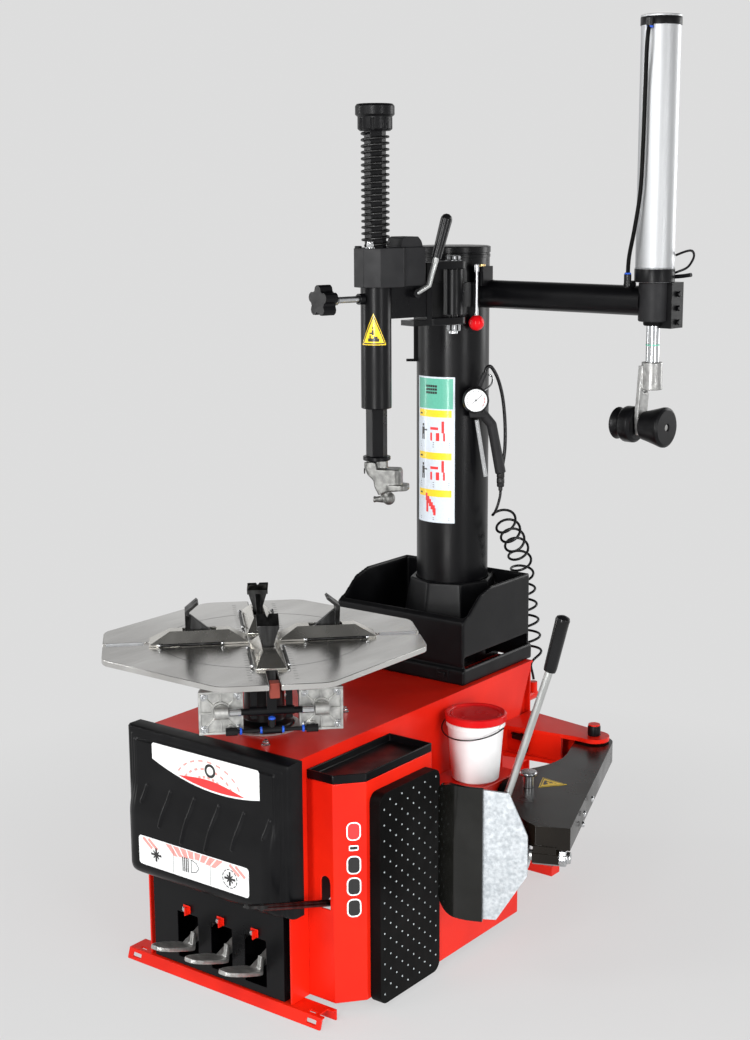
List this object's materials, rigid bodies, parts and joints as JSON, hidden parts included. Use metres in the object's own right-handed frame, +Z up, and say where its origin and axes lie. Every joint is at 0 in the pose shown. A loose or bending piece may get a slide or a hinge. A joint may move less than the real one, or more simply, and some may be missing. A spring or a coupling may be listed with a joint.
{
  "type": "tire changer",
  "caption": "Swing-arm tire changer with a clamping turntable, a side bead breaker, foot pedals and a helper press arm on a round column.",
  "frame": {"origin": "floor, under the middle of the machine's footprint without its free air hose", "axes": "+Z up, +X to the right of a person facing the pedals, +Y to the back, where the column stands"},
  "size_m": [0.9805, 1.2083, 2.041],
  "materials": {
    "red_paint": "satin powder coat",
    "black_paint": "semi-gloss powder coat",
    "black_plastic": "fine moulded grain",
    "gloss_black_plastic": "smooth gloss",
    "black_rubber": "moulded rubber",
    "table_steel": "turned and brushed",
    "pressed_steel": "bright pressed sheet",
    "dark_steel": "blackened, worn bright on the edges",
    "cast_aluminium": "as cast",
    "drawn_aluminium": "drawn and anodised",
    "cast_steel": "fine cast, lightly polished",
    "grey_cast_iron": "as cast",
    "motor_paint": "grey enamel",
    "chrome_steel": "hard chrome",
    "zinc_steel": "zinc plate",
    "white_plastic": "satin moulded",
    "red_plastic": "gloss moulded"
  },
  "bodies": {
    "chassis": {"cabinet": "red_paint", "side_box": "red_paint", "front_rail": "red_paint", "front_cover": "black_plastic", "kick_plate": "black_paint", "side_tray": "black_plastic", "tire_pad": "black_rubber", "column_tray": "black_plastic", "column": "black_paint", "column_cap": "black_paint", "gearbox": "grey_cast_iron", "motor": "motor_paint", "pivot_bracket": "red_paint", "bead_cylinder": "black_paint", "inflator_gun": "black_plastic", "coil_hose": "black_rubber"},
    "turntable": {"turntable_plate": "table_steel", "table_hub": "black_paint"},
    "front_jaw": {"jaw_cover_front": "pressed_steel", "jaw_claw_front": "dark_steel", "clamp_cylinder_left": "cast_aluminium", "clamp_cylinder_right": "cast_aluminium", "cylinder_tie_bar": "black_paint"},
    "right_jaw": {"jaw_cover_right": "pressed_steel", "jaw_claw_right": "dark_steel"},
    "rear_jaw": {"jaw_cover_rear": "pressed_steel", "jaw_claw_rear": "dark_steel"},
    "left_jaw": {"jaw_cover_left": "pressed_steel", "jaw_claw_left": "dark_steel"},
    "swing_arm": {"swing_arm": "black_paint", "post_sleeve": "black_paint", "lock_cover": "black_plastic", "post_spring": "dark_steel"},
    "tool_post": {"post_bar": "black_paint", "post_cap": "black_plastic", "mount_head": "cast_steel"},
    "lock_lever": {"arm_lock_lever": "dark_steel"},
    "stop_knob": {"stop_knob": "black_plastic"},
    "helper": {"helper_arm": "black_paint", "helper_cylinder": "drawn_aluminium", "helper_hose": "black_rubber"},
    "press_rod": {"press_rod": "chrome_steel"},
    "press_bracket": {"press_bracket": "cast_steel"},
    "press_roller": {"press_roller": "black_plastic"},
    "press_cone": {"press_cone": "black_plastic"},
    "valve_lever": {"valve_lever": "red_plastic"},
    "bead_arm": {"bead_arm": "black_paint"},
    "blade": {"bead_blade": "zinc_steel", "blade_guard": "gloss_black_plastic", "blade_lever": "zinc_steel", "blade_shaft": "zinc_steel"},
    "bead_rod": {"bead_rod": "chrome_steel"},
    "pedal_left": {"pedal_left": "cast_aluminium"},
    "pedal_middle": {"pedal_middle": "cast_aluminium"},
    "pedal_right": {"pedal_right": "cast_aluminium"},
    "inflator_trigger": {"inflator_trigger": "chrome_steel"},
    "tire_lever": {"tire_lever": "dark_steel"},
    "bucket": {"bucket": "white_plastic"},
    "bucket_lid": {"bucket_lid": "red_plastic"},
    "bucket_bail": {"bucket_bail": "dark_steel"}
  },
  "joints": [
    {"name": "turntable_spin", "type": "hinge", "parent": "chassis", "child": "turntable", "pos_m": [-0.1715, -0.226, 0.743], "axis": [0, 0, 1], "continuous": true},
    {"name": "front_jaw_slide", "type": "slide", "parent": "turntable", "child": "front_jaw", "axis": [0.7071, -0.7071, 0], "range_m": [0, 0.09]},
    {"name": "right_jaw_slide", "type": "slide", "parent": "turntable", "child": "right_jaw", "axis": [0.7071, 0.7071, 0], "range_m": [0, 0.09]},
    {"name": "rear_jaw_slide", "type": "slide", "parent": "turntable", "child": "rear_jaw", "axis": [-0.7071, 0.7071, 0], "range_m": [0, 0.09]},
    {"name": "left_jaw_slide", "type": "slide", "parent": "turntable", "child": "left_jaw", "axis": [-0.7071, -0.7071, 0], "range_m": [0, 0.09]},
    {"name": "swing_arm_hinge", "type": "hinge", "parent": "chassis", "child": "swing_arm", "pos_m": [-0.0535, 0.32, 1.459], "axis": [0, 0, 1], "range_deg": [-25, 55]},
    {"name": "tool_post_slide", "type": "slide", "parent": "swing_arm", "child": "tool_post", "axis": [0, 0, 1], "range_m": [-0.14, 0], "stiffness_N_per_m": 600, "springref_m": 0.25, "deforming": ["post_spring"]},
    {"name": "lock_lever_hinge", "type": "hinge", "parent": "swing_arm", "child": "lock_lever", "pos_m": [-0.06107, 0.18341, 1.462], "axis": [0.9578, -0.2874, 0], "range_deg": [-35, 20]},
    {"name": "stop_knob_turn", "type": "hinge", "parent": "swing_arm", "child": "stop_knob", "pos_m": [-0.15666, -0.02386, 1.453], "axis": [-0.2874, -0.9578, 0], "continuous": true},
    {"name": "helper_swing", "type": "hinge", "parent": "chassis", "child": "helper", "pos_m": [-0.1515, 0.462, 1.448], "axis": [0, 0, 1], "range_deg": [-15, 80]},
    {"name": "press_slide", "type": "slide", "parent": "helper", "child": "press_rod", "axis": [0, 0, 1], "range_m": [-0.35, 0]},
    {"name": "press_bracket_swivel", "type": "hinge", "parent": "press_rod", "child": "press_bracket", "pos_m": [0.4085, 0.41005, 1.29], "axis": [0, 0, 1], "continuous": true},
    {"name": "press_roller_spin", "type": "hinge", "parent": "press_bracket", "child": "press_roller", "pos_m": [0.35633, 0.39983, 1.179], "axis": [0.9957, -0.0924, 0], "continuous": true},
    {"name": "press_cone_spin", "type": "hinge", "parent": "press_bracket", "child": "press_cone", "pos_m": [0.42902, 0.39308, 1.179], "axis": [0.9957, -0.0924, 0], "continuous": true},
    {"name": "valve_lever_hinge", "type": "hinge", "parent": "helper", "child": "valve_lever", "pos_m": [-0.04947, 0.40995, 1.507], "axis": [0.0924, 0.9957, 0], "range_deg": [-24, 3]},
    {"name": "bead_arm_hinge", "type": "hinge", "parent": "chassis", "child": "bead_arm", "pos_m": [0.2565, 0.46, 0.386], "axis": [0, 0, 1], "range_deg": [-3, 15]},
    {"name": "blade_tilt", "type": "hinge", "parent": "bead_arm", "child": "blade", "pos_m": [0.43953, -0.05528, 0.342], "axis": [0.9225, 0.3859, 0], "range_deg": [-10, 10]},
    {"name": "bead_rod_slide", "type": "slide", "parent": "chassis", "child": "bead_rod", "axis": [1, 0, 0], "range_m": [-0.019, 0.0925]},
    {"name": "pedal_left_hinge", "type": "hinge", "parent": "chassis", "child": "pedal_left", "pos_m": [-0.2575, -0.294, 0.118], "axis": [1, 0, 0], "range_deg": [-6, 12], "stiffness_Nm_per_rad": 30, "springref_deg": -0.46},
    {"name": "pedal_middle_hinge", "type": "hinge", "parent": "chassis", "child": "pedal_middle", "pos_m": [-0.1595, -0.294, 0.118], "axis": [1, 0, 0], "range_deg": [0, 12], "stiffness_Nm_per_rad": 30, "springref_deg": -5.73},
    {"name": "pedal_right_hinge", "type": "hinge", "parent": "chassis", "child": "pedal_right", "pos_m": [-0.0635, -0.294, 0.118], "axis": [1, 0, 0], "range_deg": [0, 12], "stiffness_Nm_per_rad": 30, "springref_deg": -5.73},
    {"name": "inflator_trigger_squeeze", "type": "hinge", "parent": "chassis", "child": "inflator_trigger", "pos_m": [-0.05313, 0.41879, 1.152], "axis": [-0.6018, 0.7986, 0], "range_deg": [-6, 0], "stiffness_Nm_per_rad": 2, "springref_deg": 2.86},
    {"name": "tire_lever_draw", "type": "slide", "parent": "chassis", "child": "tire_lever", "axis": [0, -0.9524, 0.3048], "range_m": [0, 0.15]},
    {"name": "bucket_lift", "type": "slide", "parent": "chassis", "child": "bucket", "axis": [0, 0, 1], "range_m": [0, 0.3]},
    {"name": "bucket_lid_lift", "type": "slide", "parent": "bucket", "child": "bucket_lid", "axis": [0, 0, 1], "range_m": [0, 0.1]},
    {"name": "bucket_bail_swing", "type": "hinge", "parent": "bucket", "child": "bucket_bail", "pos_m": [0.1105, 0.176, 0.5044], "axis": [1, 0, 0], "range_deg": [-90, 0]}
  ],
  "couplings": [
    {"joint": "right_jaw_slide", "follows": "front_jaw_slide", "ratio": 1},
    {"joint": "rear_jaw_slide", "follows": "front_jaw_slide", "ratio": 1},
    {"joint": "left_jaw_slide", "follows": "front_jaw_slide", "ratio": 1},
    {"joint": "bead_rod_slide", "follows": "bead_arm_hinge", "m_per_rad": 0.3503}
  ]
}
